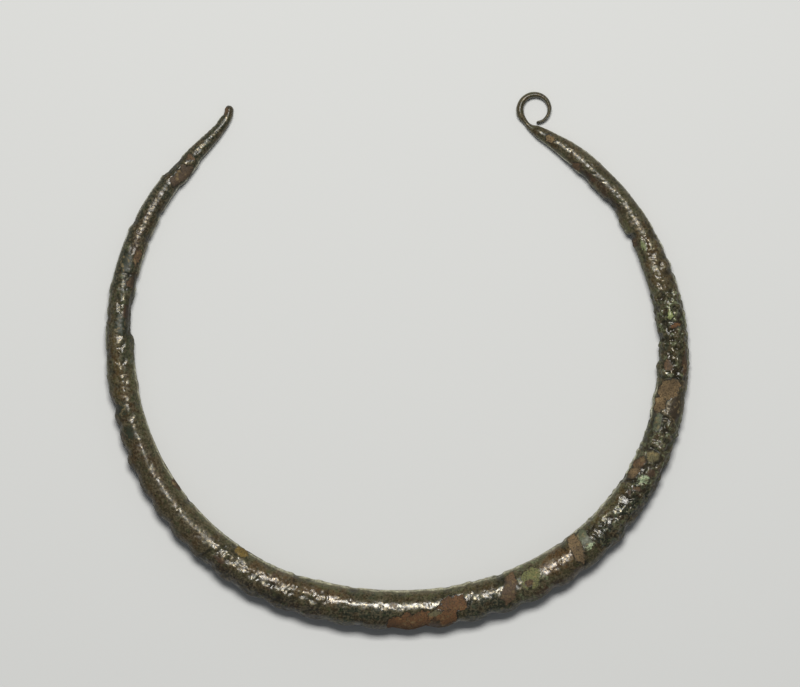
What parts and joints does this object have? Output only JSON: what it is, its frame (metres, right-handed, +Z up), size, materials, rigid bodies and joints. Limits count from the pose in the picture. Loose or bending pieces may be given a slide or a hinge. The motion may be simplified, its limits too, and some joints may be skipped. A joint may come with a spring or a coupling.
{
  "type": "bronze torc",
  "caption": "Open bronze neck ring with a ribbed outer front, tapering arms, a rolled loop at one end and a broken stub at the other.",
  "frame": {"origin": "the middle of the outline seen from above, on the surface that the ring lies on", "axes": "+Z up, out of the flat ring; +Y towards the open mouth; +X towards the end with the rolled loop"},
  "size_m": [0.1502, 0.1382, 0.0095],
  "materials": {
    "corroded_bronze": "corroded bronze: dark glossy brown-green patina with flaked tan, red-brown and pale green patches"
  },
  "bodies": {
    "root": {"neck_ring": "corroded_bronze"}
  },
  "joints": []
}
